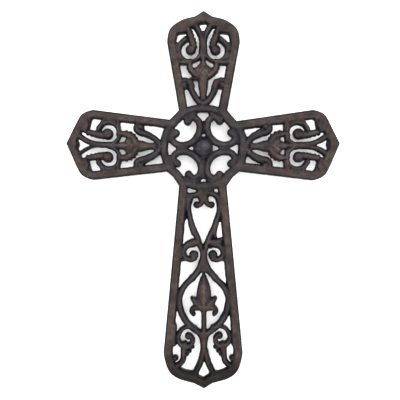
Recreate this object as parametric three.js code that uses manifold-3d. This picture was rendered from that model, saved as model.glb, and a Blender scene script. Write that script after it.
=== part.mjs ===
// Cast iron wall cross: one openwork casting with a flat back.
// Millimetres, +Z up, +X to the right as seen from the front. The front faces -Y and the back lies
// on y = 0. The origin is on the back, behind the centre boss.
import * as THREE from 'three';
import { mergeVertices } from 'three/addons/utils/BufferGeometryUtils.js';
import Module from 'manifold-3d';

const wasm = await Module();
wasm.setup();

// Overall sizes
const TOP_REACH = 136.7;
const SIDE_REACH = 136.7;
const FOOT_REACH = 240.7;
const BAND_WIDTH = 9.3;
const BAND_HEIGHT = 8;
const BAND_EDGE_HEIGHT = 6.2;
const BAND_BEVEL = 2;

// The side arms sit a little above the boss and rise slightly towards their tips, and so does the
// fretwork inside them
const ARM_LIFT = 1.2;
const ARM_RISE = 0.013;
const FRET_LIFT = 0.3;
const FRET_RISE = 0.018;
const SIDE_TIP = 1;

// Heights of the fretwork above the back
const BAR = { crest: 7.2, edge: 4.8 };
const LEAF = { crest: 7.7, edge: 5.2 };
const TULIP = { crest: 7.6, edge: 5.4 };
const KNOB = { crest: 7.6, edge: 4.8 };
const RING = { crest: 7.5, edge: 5.2 };
const WEB = { edge: 6.8 };
const SEAM = { edge: 5 };
const BOSS = { radius: 10, edge: 5.6, collar: 7.2, domeRadius: 8, crest: 10.5 };

// How much fuller every bar and knob was cast than its drawn half-width
const FULLNESS = 0.35;

// Ring and quatrefoil round the boss
const RING_RADIUS = 39.2;
const RING_HALF = 3.9;
const RING_STEPS = 24;
const FOIL_HALF = 3.3;
const FOIL_NUB = 3.8;
const FOIL_DROP = -0.8;
const FOIL_LOWER_SQUASH = 0.95;

const KNOB_SIDES = 8;
const BOSS_SIDES = 14;

// Every piece is built this far behind the back, which one flat cut then trims to y = 0
const BACK_STOCK = 2;

// Flat curve helpers: every path is a list of [x, z] points

// Smooth curve through the points, in the given number of spans
function curve(points, spans) {
  const spline = new THREE.SplineCurve(points.map(([x, z]) => new THREE.Vector2(x, z)));
  return spline.getPoints(spans).map((p) => [p.x, p.y]);
}

// Arc or spiral round an eye, from one radius and angle to another
function scroll(eye, fromRadius, toRadius, fromDegrees, toDegrees, steps) {
  return Array.from({ length: steps + 1 }, (_, i) => {
    const radius = THREE.MathUtils.lerp(fromRadius, toRadius, i / steps);
    const angle = THREE.MathUtils.degToRad(THREE.MathUtils.lerp(fromDegrees, toDegrees, i / steps));
    return [eye[0] + radius * Math.cos(angle), eye[1] + radius * Math.sin(angle)];
  });
}

// Value of a short list spread evenly over a path
function spread(values, fraction) {
  const place = fraction * (values.length - 1);
  const index = Math.min(Math.floor(place), values.length - 2);
  return THREE.MathUtils.lerp(values[index], values[index + 1], place - index);
}

// Mitred left-hand normal at each point of a path
function mitres(path, closed) {
  const last = path.length - 1;
  const side = (from, to) => {
    const length = Math.hypot(to[0] - from[0], to[1] - from[1]);
    return [-(to[1] - from[1]) / length, (to[0] - from[0]) / length];
  };
  return path.map((point, i) => {
    const before = i > 0 ? path[i - 1] : closed ? path[last] : null;
    const after = i < last ? path[i + 1] : closed ? path[0] : null;
    const a = before ? side(before, point) : side(point, after);
    const b = after ? side(point, after) : a;
    const scale = 1 / (1 + a[0] * b[0] + a[1] * b[1]);
    return [(a[0] + b[0]) * scale, (a[1] + b[1]) * scale];
  });
}

// Solid helpers

function toSolid(geometry) {
  geometry.deleteAttribute('normal');
  geometry.deleteAttribute('uv');
  const merged = mergeVertices(geometry, 1e-4);
  return new wasm.Manifold(new wasm.Mesh({
    numProp: 3,
    vertProperties: new Float32Array(merged.attributes.position.array),
    triVerts: new Uint32Array(merged.index.array),
  }));
}

// A section of [offset, height] points carried along a path; reach(i) gives how far one unit of
// offset goes sideways at path point i
function sweep(path, section, reach, closed) {
  const normals = mitres(path, closed);
  const count = section.length;
  const positions = path.flatMap(([x, z], i) => section.flatMap(([offset, height]) => {
    const out = offset * reach(i);
    return [x + normals[i][0] * out, -height, z + normals[i][1] * out];
  }));
  const index = [];
  const spans = closed ? path.length : path.length - 1;
  for (let i = 0; i < spans; i += 1) {
    const here = i * count;
    const next = ((i + 1) % path.length) * count;
    for (let k = 0; k < count; k += 1) {
      const m = (k + 1) % count;
      index.push(here + k, next + m, here + m, here + k, next + k, next + m);
    }
  }
  if (!closed) {
    const end = (path.length - 1) * count;
    for (let k = 1; k < count - 1; k += 1) {
      index.push(0, k, k + 1, end, end + k + 1, end + k);
    }
  }
  const geometry = new THREE.BufferGeometry();
  geometry.setAttribute('position', new THREE.Float32BufferAttribute(positions, 3));
  geometry.setIndex(index);
  return toSolid(geometry);
}

// Section of a bar: upright sides and a ridged crest, or a flat top when the shape has no crest
function ridged(shape) {
  const crest = shape.crest ? [[0, shape.crest]] : [];
  return [[-1, -BACK_STOCK], [-1, shape.edge], ...crest, [1, shape.edge], [1, -BACK_STOCK]];
}

// Bar whose half-widths are spread evenly along its path
function bar(path, halfWidths, shape = BAR) {
  return sweep(path, ridged(shape), (i) => FULLNESS + spread(halfWidths, i / (path.length - 1)), false);
}

// Straight blade on an arm's axis, its half-widths given as [along, half] stations
function blade(place, stations, shape) {
  const path = stations.map(([along]) => place(along, 0));
  return sweep(path, ridged(shape), (i) => FULLNESS + stations[i][1], false);
}

// Low-domed round knob, or a flat disc when the shape has no crest
function knob([x, z], drawnRadius, shape = KNOB) {
  const radius = FULLNESS + drawnRadius;
  const dome = shape.crest ? [[0.5 * radius, shape.crest], [0, shape.crest]] : [[0, shape.edge]];
  const profile = [[0, -BACK_STOCK], [radius, -BACK_STOCK], [radius, shape.edge], ...dome];
  const geometry = new THREE.LatheGeometry(profile.map(([r, h]) => new THREE.Vector2(r, h)), KNOB_SIDES);
  geometry.rotateX(Math.PI);
  geometry.translate(x, 0, z);
  return toSolid(geometry);
}

const mirrored = (points, sign) => points.map(([x, z]) => [sign * x, z]);

// Border band

// End of an arm as [along, across] points from its tip: a straight flank, then a rounded shoulder.
// The last point lies on the straight edge past the shoulder, so that the curve runs into it
function armEnd(points) {
  return [points[0], ...curve(points, 3 * (points.length - 1)).slice(3, -3)];
}

function outline() {
  const top = armEnd([[TOP_REACH, 0], [131.4, 8], [127.4, 22], [118.4, 33.6], [104.5, 36.5], [92, 34.5]]);
  const side = armEnd([[SIDE_REACH, SIDE_TIP], [126.6, 21.8], [120.6, 30.9], [109.5, 35.1], [98, 33.7]]);
  const foot = armEnd([[FOOT_REACH, 0], [235.6, 8.6], [231, 24.2], [222.7, 34.2], [205, 39.1], [190, 37.7]]);
  const lifted = (along, across) => [along, ARM_LIFT + ARM_RISE * along + across];
  const half = [
    ...top.map(([along, across]) => [across, along]),
    [24.3, 37],
    [33.3, 27.2],
    ...side.toReversed().map(([along, across]) => lifted(along, across)),
    ...side.slice(1).map(([along, across]) => lifted(along, -across)),
    [36.5, -24.2],
    [30, -29.5],
    [23.9, -38.5],
    ...foot.toReversed().map(([along, across]) => [across, -along]),
  ];
  return [...half, ...mirrored(half.slice(1, -1).toReversed(), -1)].toReversed();
}

function band() {
  const inner = BAND_WIDTH - BAND_BEVEL;
  const section = [
    [0, -BACK_STOCK],
    [0, BAND_EDGE_HEIGHT],
    [BAND_BEVEL, BAND_HEIGHT],
    [inner, BAND_HEIGHT],
    [BAND_WIDTH, BAND_EDGE_HEIGHT],
    [BAND_WIDTH, -BACK_STOCK],
  ];
  return sweep(outline(), section, () => 1, true);
}

// Centre: ring, quatrefoil of four C-scrolls with nubbed ends, and the boss

function ring() {
  return bar(scroll([0, 0], RING_RADIUS, RING_RADIUS, 0, 360, RING_STEPS), [RING_HALF, RING_HALF], RING);
}

function quatrefoil() {
  const half = [[27, 15.5], [31, 10.2], [27.4, 4.6], [20.5, 2.9], [13.7, 4.5], [8.3, 8.3]];
  const lobe = curve([...half, ...half.slice(0, -1).toReversed().map(([x, z]) => [z, x])], 10);
  return [[1, 1], [-1, 1], [-1, -1], [1, -1]].flatMap(([right, up]) => {
    const rise = up > 0 ? 1 : -FOIL_LOWER_SQUASH;
    const path = lobe.map(([x, z]) => [right * x, FOIL_DROP + rise * z]);
    return [
      bar(path, [FOIL_HALF, FOIL_HALF]),
      knob(path[0], FOIL_NUB),
      knob(path.at(-1), FOIL_NUB),
    ];
  });
}

function boss() {
  const profile = [
    [0, -BACK_STOCK],
    [BOSS.radius, -BACK_STOCK],
    [BOSS.radius, BOSS.edge],
    [BOSS.domeRadius, BOSS.collar],
    [0.8 * BOSS.domeRadius, 0.5 * (BOSS.collar + BOSS.crest)],
    [0.45 * BOSS.domeRadius, 0.94 * BOSS.crest],
    [0, BOSS.crest],
  ];
  const geometry = new THREE.LatheGeometry(profile.map(([r, h]) => new THREE.Vector2(r, h)), BOSS_SIDES);
  geometry.rotateX(Math.PI);
  geometry.translate(0, 0, FOIL_DROP);
  const lower = bar([[0, -10.8], [0, -29.4]], [1.6, 1.2], SEAM);
  const upper = bar([[0, 14], [0, 20]], [1, 1], SEAM);
  return [toSolid(geometry), lower, upper];
}

// Metal between the quatrefoil's ends and the ring, above and below
function ringFillers() {
  return [1, -1].flatMap((sign) => [
    bar(mirrored([[7.4, 33.8], [11, 33.2]], sign), [1.7, 2], SEAM),
    bar(mirrored([[5, -33.2], [10, -33.6]], sign), [1.7, 2.4], SEAM),
  ]);
}

// Fretwork of the top and side arms, in [along, across] from the boss

// Parts that differ between the top arm and the two side arms
const TOP_FRET = {
  lead: [[127, 9.6], [121, 7], [116, 4.2], [110, 2.1], [103, 1.6], [96, 1.9]],
  leadHalf: [3, 3, 2.8, 2.4, 2.2, 2.2],
  eye: [97.2, 13.1],
  radius: [11.5, 11.2],
  leaf: [[121, 15.5], [114, 14], [107, 11.4], [101.5, 10], [98, 11]],
  curl: { at: [97.5, 12.4], radius: 4.9 },
  petal: [[71, 6], [73.5, 9], [77.5, 12], [82, 13.4], [86, 12.6]],
  petalHalf: [2.5, 2.8, 3.2, 2.8, 2.4],
  stem: [[97, 2.6], [85.5, 2.2], [83, 3.6], [80.5, 6.2], [78.5, 9.6], [74, 9.6], [70.5, 7.4], [68.3, 4.7],
    [60, 4.2], [53, 3.2], [46, 2.8]],
  bracket: [[43.6, 0], [45, 3.4], [48, 6.3], [52, 8.7], [57.5, 11.6], [62.6, 14], [66, 17], [65, 21.5],
    [62, 25]],
  bracketHalf: [3, 3, 2.9, 2.9, 3, 3.2, 3.5, 3.6, 3.4],
  bulb: { at: [62.3, 18.2], radius: 4 },
  webs: [
    { path: [[122.5, 11], [122.5, 18]], half: 3 },
    { path: [[118, 19.5], [117, 26]], half: 4 },
    { path: [[85, 14], [85, 28]], half: 2.6 },
  ],
  tip: { at: [127.5, 0], radius: 3.85 },
};
const SIDE_FRET = {
  lead: [[126, 10.5], [121.5, 7.6], [117, 4.7], [111.5, 2.5], [105, 1.7], [94, 1.4]],
  leadHalf: [2.8, 2.8, 2.8, 2.4, 2, 2],
  eye: [94.6, 12.2],
  radius: [11, 10.8],
  leaf: [[121, 16], [114, 13], [107, 11.4], [101, 10.4], [97.5, 11]],
  curl: { at: [95.6, 11.6], radius: 5.4 },
  petal: [[67.5, 4.5], [70.5, 8], [75.5, 11.2], [81, 12.1], [84.5, 11.4]],
  petalHalf: [2.4, 3.4, 3.5, 2.7, 2.4],
  stem: [[95, 2.2], [84, 3], [80.4, 3.6], [78, 5], [76.2, 8.8], [72, 9.4], [69, 7.6], [66, 6],
    [60, 5.1], [54, 3.2], [50.5, 3.2], [46, 4.6]],
  bracket: [[43, 0], [44.4, 3.8], [47.3, 7], [51.4, 9.8], [57.5, 12.7], [63, 14.4], [66, 17.2], [65, 21.5],
    [62, 25]],
  bracketHalf: [3.2, 3.2, 3.2, 3.3, 3.4, 3.6, 3.6, 3.6, 3.4],
  bulb: { at: [62.5, 18.5], radius: 3.6 },
  webs: [
    { path: [[115, 20], [119, 25]], half: 3.4 },
    { path: [[84.6, 15], [85.2, 27]], half: 1.9 },
    { path: [[115, 16.5], [121, 18.5]], half: 2.4 },
  ],
  tip: { at: [128, 0.6], radius: 4.1 },
};
const LEAF_HALF = [2.2, 2.8, 3.4, 3.4, 3.4];
const SCROLL_HALF = [2.1, 2, 1.9, 2.1, 2.5, 2.7];

// One half of an arm's fretwork; place turns [along, across] into [x, z]
function fretHalf(fret, place) {
  const put = (points) => points.map(([along, across]) => place(along, across));
  return [
    bar(put(curve(fret.lead, 5)), fret.leadHalf),
    bar(put(scroll(fret.eye, fret.radius[0], fret.radius[1], -95, -335, 9)), SCROLL_HALF),
    bar(put(curve(fret.leaf, 4)), LEAF_HALF, LEAF),
    knob(place(...fret.curl.at), fret.curl.radius),
    bar(put(curve(fret.petal, 4)), fret.petalHalf, LEAF),
    bar(put(curve(fret.bracket, 8)), fret.bracketHalf),
    knob(place(...fret.bulb.at), fret.bulb.radius),
    ...fret.webs.map(({ path, half }) => bar(put(path), [half, half], WEB)),
  ];
}

// Both halves, the tulip stem between them and the pad behind the tip
function fretwork(fret, place) {
  return [
    ...fretHalf(fret, place),
    ...fretHalf(fret, (along, across) => place(along, -across)),
    blade(place, fret.stem, TULIP),
    knob(place(...fret.tip.at), fret.tip.radius, WEB),
  ];
}

function arms() {
  const side = (sign) => (along, across) => [sign * along, FRET_LIFT + FRET_RISE * along + across];
  return [
    ...fretwork(TOP_FRET, (along, across) => [across, along]),
    ...fretwork(SIDE_FRET, side(1)),
    ...fretwork(SIDE_FRET, side(-1)),
  ];
}

// Lower arm, from the ring down to the foot, in [x, z]; the paths are for the right half

function heartHalf(sign) {
  const side = [
    [1.5, -45], [8, -45.8], [13.2, -49.2], [15.4, -57], [15.1, -64], [13, -72.5], [10.2, -80.5], [6.8, -88],
    [2.9, -98],
  ];
  const hook = [[0.5, -50], [2, -54], [4.2, -56.8], [7.2, -56.8]];
  return [
    bar(mirrored(curve(side, 8), sign), [3, 2.9, 2.9, 2.8, 2.9, 3.3, 3.6, 3.2, 2.6]),
    bar(mirrored(curve(hook, 3), sign), [3.3, 2.8, 2.4, 2.3]),
    knob([sign * 7.3, -57], 3.3),
  ];
}

function voluteHalf(sign) {
  const turn = [[5.5, -94.2], [10.5, -95.3], [16, -97.5], [19.5, -103], [18.5, -109], [13.5, -111.6],
    [9.5, -110.5]];
  return [
    bar(mirrored(curve(turn, 7), sign), [3, 4.4, 3.4, 2.5, 2.6, 2.6, 2]),
    knob([sign * 9.5, -107.2], 4.6),
  ];
}

function almondHalf(sign) {
  const side = [
    [3.2, -95.5], [1.3, -106], [1.9, -112], [5, -122], [11.2, -130], [19.5, -138.5], [24, -147.5], [24.5, -155],
    [22.3, -165], [17.3, -174], [10.5, -180.6], [2.5, -186.5],
  ];
  return [bar(mirrored(curve(side, 12), sign), [2.4, 1.7, 2.1, 3, 3.2, 3, 3, 3, 3, 3, 3, 3])];
}

function fleurHalf(sign) {
  const wing = [[2, -160], [6, -157], [9.3, -152.5], [11.8, -150]];
  const tail = [[1, -159.4], [6, -159.7], [10.4, -160.5], [12.1, -163.4], [10.3, -166.4]];
  return [
    bar(mirrored(curve(wing, 3), sign), [3.5, 3.6, 2.8, 1.5], LEAF),
    bar(mirrored(curve(tail, 4), sign), [3.7, 3.1, 2.6, 2.3, 2]),
    knob([sign * 10.3, -166.4], 2),
  ];
}

function footHalf(sign) {
  const turn = [[8.5, -180.3], [15, -178.9], [21.9, -181.6], [25.7, -189.5], [23.3, -196.2], [17.3, -198.8],
    [12.6, -196.2], [11.2, -191.6], [12.8, -188.6]];
  const leaf = [[18.8, -197], [20.4, -205.5], [20.5, -211.2], [23.5, -215.8], [30, -220]];
  const leg = [[1, -203], [3.3, -213], [6, -219.5], [11, -229]];
  return [
    bar(mirrored(curve(turn, 9), sign), [2.4, 2.1, 2.1, 2.2, 2.5, 2.7, 2.4, 2.3, 2.3]),
    knob([sign * 15.2, -188.3], 3.5),
    bar(mirrored(curve(leaf, 4), sign), [3.9, 2.7, 2.8, 2.6, 2.5], LEAF),
    knob([sign * 28.3, -210.2], 2.9),
    bar(mirrored(curve(leg, 3), sign), [2.7, 2.7]),
    bar(mirrored([[29.4, -178], [30.4, -196]], sign), [2.4, 2.4], WEB),
    bar(mirrored([[8, -226], [16, -225.4], [25, -221.4]], sign), [2.6, 2.6], WEB),
  ];
}

function lowerAxis() {
  const down = (along, across) => [across, -along];
  const fleur = [[122, 1], [126, 1.2], [130, 3], [136, 5.4], [142, 6.7], [148, 7.1], [154, 6.6], [161, 5]];
  return [
    blade(down, [[40, 6], [44.5, 6.6], [48, 5.8], [52, 4.4], [56, 3.6]], TULIP),
    blade(down, [[112, 2], [119, 3.6], [124.5, 3.8]], WEB),
    blade(down, fleur, LEAF),
    blade(down, [[159, 2.4], [186, 2.4]], BAR),
    blade(down, [[183, 3], [186.5, 6], [190.5, 4.6], [196, 3.4], [201, 3], [208, 3.2]], BAR),
  ];
}

function lowerArm() {
  const halves = [heartHalf, voluteHalf, almondHalf, fleurHalf, footHalf];
  return [...halves.flatMap((half) => [half(1), half(-1)].flat()), ...lowerAxis()];
}

// The whole casting is one solid

const pieces = [band(), ring(), ...quatrefoil(), ...ringFillers(), ...boss(), ...arms(), ...lowerArm()];
const behind = new THREE.BoxGeometry(4 * SIDE_REACH, 4 * BACK_STOCK, 4 * FOOT_REACH);
behind.translate(0, 2 * BACK_STOCK, 0);
const casting = pieces.reduce((whole, piece) => whole.add(piece)).subtract(toSolid(behind)).getMesh();

const geometry = new THREE.BufferGeometry();
geometry.setAttribute('position', new THREE.Float32BufferAttribute(casting.vertProperties, 3));
geometry.setIndex(new THREE.Uint32BufferAttribute(casting.triVerts, 1));
geometry.computeVertexNormals();

const iron = new THREE.MeshStandardMaterial({ color: 0x47423f, roughness: 0.6, metalness: 0.5 });
iron.name = 'cast_iron';
const cross = new THREE.Mesh(geometry, iron);
cross.name = 'wall_cross';

const group = new THREE.Group();
group.name = 'cast_iron_wall_cross';
group.add(cross);

export default group;
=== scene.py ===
"""Cast iron wall cross: one openwork casting, drawn as bars, leaves and knobs that melt together."""

import bpy
import numpy as np
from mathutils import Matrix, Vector
from mathutils.geometry import delaunay_2d_cdt


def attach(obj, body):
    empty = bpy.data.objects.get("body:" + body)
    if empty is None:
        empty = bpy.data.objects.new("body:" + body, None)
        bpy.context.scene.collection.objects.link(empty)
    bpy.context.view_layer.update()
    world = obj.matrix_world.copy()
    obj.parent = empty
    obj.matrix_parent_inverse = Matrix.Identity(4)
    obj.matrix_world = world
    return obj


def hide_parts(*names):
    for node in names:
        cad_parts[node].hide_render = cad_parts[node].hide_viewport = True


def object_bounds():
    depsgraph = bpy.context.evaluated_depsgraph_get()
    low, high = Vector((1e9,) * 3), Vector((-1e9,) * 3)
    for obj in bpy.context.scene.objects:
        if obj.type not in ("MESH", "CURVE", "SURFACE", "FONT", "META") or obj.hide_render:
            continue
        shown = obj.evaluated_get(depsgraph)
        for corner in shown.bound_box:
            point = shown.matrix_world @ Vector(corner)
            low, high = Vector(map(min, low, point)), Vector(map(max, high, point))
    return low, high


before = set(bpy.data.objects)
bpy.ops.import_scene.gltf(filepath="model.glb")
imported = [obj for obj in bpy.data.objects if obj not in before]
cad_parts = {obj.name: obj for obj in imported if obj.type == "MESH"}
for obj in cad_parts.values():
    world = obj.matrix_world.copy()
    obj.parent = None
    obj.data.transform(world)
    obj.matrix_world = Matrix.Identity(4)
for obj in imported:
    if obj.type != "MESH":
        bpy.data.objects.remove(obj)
CAD_LOW, CAD_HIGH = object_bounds()

# Sizes are in millimetres, x to the right, z up, and height is measured forward from the back
MM = 0.001
TOP_REACH = CAD_HIGH[2] / MM
FOOT_REACH = -CAD_LOW[2] / MM
SIDE_REACH = CAD_HIGH[0] / MM
FULL_HEIGHT = -CAD_LOW[1] / MM
BAND_WIDTH = 9.0

# Drift of the casting from an even drawing: the side arms and their fretwork sit above the boss and
# rise outwards, their tips lie higher still, and the right arm's lower edge lies further out
ARM_LIFT = 1.2
ARM_RISE = 0.013
FRET_LIFT = 0.3
FRET_RISE = 0.018
SIDE_TIP = 1.0
RIGHT_EDGE_SPREAD = 1.015

# The top arm leans to the right, its ornament sits high, and the left armpit is the higher one
TOP_LEAN = 0.004
TOP_LIFT = 0.35
ARMPIT_SKEW = 0.7

# The lower arm is wider at the foot and where its left edge starts, its tip lies to the right, and its
# ornament lies a little low and from the volutes down to the right
LOWER_SPREAD = 0.5
FOOT_TIP = 0.9
LOWER_SHIFT = 0.7
LOWER_SHIFT_START = 95.0
LOWER_SHIFT_SPAN = 30.0
LOWER_DROP = 0.4

# The band is wider on the right arm than on the left one
BAND_SKEW = 0.4
BAND_SKEW_SPAN = 50.0
SIDE_ARM_TOP = 45.0

# Grid of the relief, how much the bars are fattened, and how far neighbours melt together
CELL = 0.72
GRID_MARGIN = 2.0
PATCH_MARGIN = 3.0
PLUMP = 0.25
OUTLINE_MELT = 1.6
HEIGHT_MELT = 1.4
SKIRT_SLOPE = 3.0
SCORE_REACH = 3.0
LEAST_HALF = 0.1
WALL_ROWS = 3
TINY = 1e-9
JOIN_REACH = 1e-7

# Forms: height at the crest, height at the edge, how round the crest is, and how bluish the iron is
BAR = {"crest": 7.2, "edge": 4.8, "round": 2.2, "cool": 0.65}
SCROLL = {"crest": 7.2, "edge": 4.8, "round": 2.2, "cool": 0.5}
STEM = {"crest": 7.2, "edge": 4.8, "round": 2.2, "cool": 0.2}
LOBE_BAR = {"crest": 7.4, "edge": 5.4, "round": 2.6, "cool": 0.75, "melt": 0.8}
LEAF = {"crest": 7.7, "edge": 5.2, "round": 2, "cool": 0.1}
TULIP = {"crest": 7.6, "edge": 5.4, "round": 3, "cool": 0.2}
KNOB = {"crest": 7.7, "edge": 4.8, "round": 2.4, "cool": 0.1}
CURL = {"crest": 7.7, "edge": 4.8, "round": 2.4, "cool": 0.4, "melt": 0.7}
NUB = {"crest": 6.6, "edge": 4.8, "round": 2, "cool": 0.5}
TOOTH = {"crest": 6.8, "edge": 5.2, "round": 2, "cool": 0.2, "melt": 0.5}
RING = {"crest": 7.5, "edge": 5.2, "round": 2.6, "cool": 0.8}
WEB = {"crest": 7.7, "edge": 6.2, "round": 3, "cool": 0.2}
SHELF = {"crest": 7.2, "edge": 6.4, "round": 2, "cool": 0.4}
SEAM = {"crest": 7, "edge": 6.7, "round": 2, "cool": 0.7}
COLLAR = {"crest": 7.2, "edge": 5.6, "round": 2, "cool": 0.8}
BOSS = {"crest": 10.2, "edge": 6.6, "round": 1.8, "cool": 0.8}
BAND = {"crest": 8, "edge": 5.6, "bevel": 2.6}

COLUMNS = np.arange(-SIDE_REACH - GRID_MARGIN, SIDE_REACH + GRID_MARGIN, CELL)
ROWS = np.arange(-FOOT_REACH - GRID_MARGIN, TOP_REACH + GRID_MARGIN, CELL)
GRID_X, GRID_Z = np.meshgrid(COLUMNS, ROWS)


def curve(points, steps=8):
    """Points of the smooth curve that passes through the given points, with the slope at each
    one taken from its two neighbours."""
    p = np.array(points, float)
    q = np.vstack([p[:1], p, p[-1:]])
    t = np.linspace(0.0, 1.0, steps, endpoint=False)[:, None]
    spans = []
    for a, b, c, d in zip(q, q[1:], q[2:], q[3:]):
        slope_in = 0.5 * (c - a)
        slope_out = 0.5 * (d - b)
        spans.append(b + slope_in * t + (3 * (c - b) - 2 * slope_in - slope_out) * t**2
                     + (2 * (b - c) + slope_in + slope_out) * t**3)
    return np.vstack(spans + [p[-1:]])


def scroll(eye, radii, degrees, steps=30):
    """Arc or spiral round an eye: the radius changes evenly with the angle."""
    angle = np.radians(np.linspace(degrees[0], degrees[1], steps))
    radius = np.linspace(radii[0], radii[1], steps)
    return np.stack([eye[0] + radius * np.cos(angle), eye[1] + radius * np.sin(angle)], axis=1)


def circle(centre, radius, steps=72):
    """A closed round path."""
    return scroll(centre, (radius, radius), (0, 360), steps)


def fade(values, start, span):
    """Even rise from nought at the start to one at the end of the span."""
    return np.clip((values - start) / span, 0.0, 1.0)


def melt(a, b, reach):
    """The larger of two fields, rounded where they are within reach of each other."""
    return np.maximum(a, b) + np.maximum(reach - np.abs(a - b), 0.0) ** 2 / (4.0 * reach)


def nearest_on(a, b, x, z):
    """Nearest place on a segment, as the share of its length, and the distance to it."""
    along = b - a
    t = np.clip(((x - a[0]) * along[0] + (z - a[1]) * along[1]) / max(along @ along, TINY), 0.0, 1.0)
    return t, np.hypot(x - a[0] - t * along[0], z - a[1] - t * along[1])


def segment_depths(x, z, path, half):
    """Depth inside a bar of changing half-width: at each point the half-width at the nearest place
    on each segment less the distance to it. Returns the depth and the half-width there."""
    best = np.full(x.shape, -np.inf)
    chosen = np.zeros(x.shape)
    for a, b, near, far in zip(path, path[1:], half, half[1:]):
        t, distance = nearest_on(a, b, x, z)
        width = near + t * (far - near)
        depth = width - distance
        chosen = np.where(depth > best, width, chosen)
        best = np.maximum(best, depth)
    return best, chosen


class Casting:
    """Fields over the grid: depth inside the outer outline, depth inside the iron, height above the
    back and how bluish it is. It starts as the bevelled border band."""

    def __init__(self, outline):
        self.inside = outline_depth(outline)
        skew = BAND_SKEW * np.clip(GRID_X / BAND_SKEW_SPAN, -1.0, 1.0) * (np.abs(GRID_Z) < SIDE_ARM_TOP)
        band = np.minimum(self.inside, BAND_WIDTH + skew - self.inside)
        rise = fade(band, 0.0, BAND["bevel"])
        crown = BAND["edge"] + (BAND["crest"] - BAND["edge"]) * (1.0 - (1.0 - rise) ** 2)
        self.depth = band
        self.height = np.where(band > 0.0, crown, BAND["edge"] + SKIRT_SLOPE * band)
        self.cool = np.zeros(band.shape)

    def lay(self, patch, depth, width, form):
        """Adds a shape to the fields: its height falls from crest to edge as a power of the depth, and
        its colour holds where it stands higher than what was there."""
        share = np.clip(depth / np.maximum(width, LEAST_HALF), 0.0, 1.0)
        dome = form["edge"] + (form["crest"] - form["edge"]) * (1.0 - (1.0 - share) ** form["round"])
        height = np.where(depth > 0.0, dome, form["edge"] + SKIRT_SLOPE * depth)
        self.cool[patch] = np.where(height > self.height[patch], form["cool"], self.cool[patch])
        self.depth[patch] = melt(self.depth[patch], depth, form.get("melt", OUTLINE_MELT))
        self.height[patch] = melt(self.height[patch], height, HEIGHT_MELT)

    def bar(self, path, half, form=BAR):
        """A bar along a path, its half-width changing evenly between the given values."""
        path = np.array(path, float)
        half = np.interp(np.linspace(0, 1, len(path)), np.linspace(0, 1, len(half)), half)
        patch = window(path, half.max() + PATCH_MARGIN)
        depth, width = segment_depths(GRID_X[patch], GRID_Z[patch], path, half)
        self.lay(patch, depth, width, form)

    def knob(self, centre, radius, form=KNOB):
        """A round knob: a bar of no length."""
        self.bar([centre, centre], [radius], form)

    def blade(self, place, stations, form):
        """A straight symmetrical blade on an arm's axis, its half-width given station by station."""
        at, half = np.array(sorted(stations), float).T
        patch = window(place([(at[0], 0), (at[-1], 0)]), half.max() + PATCH_MARGIN)
        along, across = place.back(GRID_X[patch], GRID_Z[patch])
        width = np.interp(along, at, half)
        slope = np.interp(along, (at[1:] + at[:-1]) / 2, np.diff(half) / np.diff(at))
        depth = (width - np.abs(across)) / np.hypot(1.0, slope)
        depth = np.minimum(depth, np.minimum(along - at[0], at[-1] - along))
        self.lay(patch, depth, width, form)

    def score(self, path, cut):
        """A line cut into the relief by its width and depth, that fades with the square of the distance
        to its path. It is raised where the depth is less than nought."""
        path = np.array(path, float)
        width, amount = cut
        patch = window(path, SCORE_REACH * width)
        distance = segment_depths(GRID_X[patch], GRID_Z[patch], path, np.zeros(len(path)))[0]
        self.height[patch] -= amount * np.exp(-(distance / width) ** 2)


def window(path, reach):
    """Part of the grid within reach of a path."""
    col = np.searchsorted(COLUMNS, [path[:, 0].min() - reach, path[:, 0].max() + reach])
    row = np.searchsorted(ROWS, [path[:, 1].min() - reach, path[:, 1].max() + reach])
    return np.s_[row[0]:row[1], col[0]:col[1]]


def outline_depth(outline):
    """Distance inside a closed outline, positive inside, by nearest edge and crossing count."""
    nearest = np.full(GRID_X.shape, np.inf)
    inside = np.zeros(GRID_X.shape, bool)
    for a, b in zip(outline, np.roll(outline, -1, axis=0)):
        nearest = np.minimum(nearest, nearest_on(a, b, GRID_X, GRID_Z)[1])
        if a[1] != b[1]:
            crosses = (a[1] > GRID_Z) != (b[1] > GRID_Z)
            inside ^= crosses & (GRID_X < a[0] + (GRID_Z - a[1]) * (b[0] - a[0]) / (b[1] - a[1]))
    return np.where(inside, nearest, -nearest)


# Outline of the arms' ends as (along, across) from the tip, and of the armpits as (x, z)
TOP_END = [(TOP_REACH, 0), (131.4, 8), (127.4, 22), (118.4, 33.6), (104.5, 36.5), (92, 34.5)]
SIDE_END = [(SIDE_REACH, SIDE_TIP), (126.6, 21.8), (120.6, 30.9), (109.5, 35.1), (98, 33.7)]
FOOT_END = [(FOOT_REACH, 0), (235.6, 8.6), (231, 24.2), (222.7, 34.2), (205, 39.1), (190, 37.7)]
UPPER_ARMPIT = [(24.3, 37), (33.3, 27.2)]
LOWER_ARMPIT = [(36.5, -24.2), (30, -29.5), (23.6, -38.5)]
END_STEPS = 6


def arm_end(points):
    """End of an arm from its tip: a straight flank, then a rounded shoulder. The last point lies on
    the straight edge past the shoulder, so that the curve runs into it."""
    path = curve(points, END_STEPS)
    return np.vstack([path[:1], path[END_STEPS:-END_STEPS]])


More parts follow.
